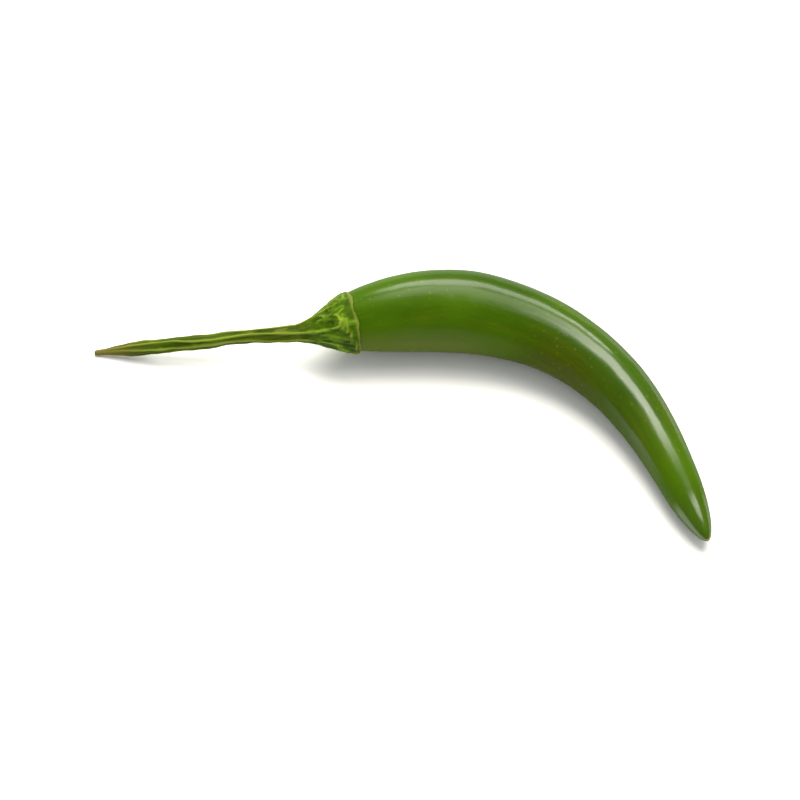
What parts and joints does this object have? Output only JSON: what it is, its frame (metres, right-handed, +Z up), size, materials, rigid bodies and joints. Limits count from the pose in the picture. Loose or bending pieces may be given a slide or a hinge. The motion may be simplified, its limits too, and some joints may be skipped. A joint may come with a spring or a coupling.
{
  "type": "chilli pepper",
  "caption": "Fresh green chilli pepper lying on its side: curved tapering pod, wrinkled calyx cap and long thin stalk.",
  "frame": {"origin": "on the surface that the chilli lies on, under the centre of its bounding box", "axes": "+X from the stalk to the pod's tip, +Y towards the outside of the pod's curve, +Z up"},
  "size_m": [0.0854, 0.0422, 0.0118],
  "materials": {
    "pod_skin": "smooth waxy fruit skin, glossy deep green",
    "calyx_flesh": "wrinkled plant tissue, satin, paler yellow-green",
    "stalk_fibre": "ridged plant fibre, satin, olive green, drier at its end"
  },
  "bodies": {
    "root": {"pod": "pod_skin", "calyx": "calyx_flesh", "stalk": "stalk_fibre"}
  },
  "joints": []
}
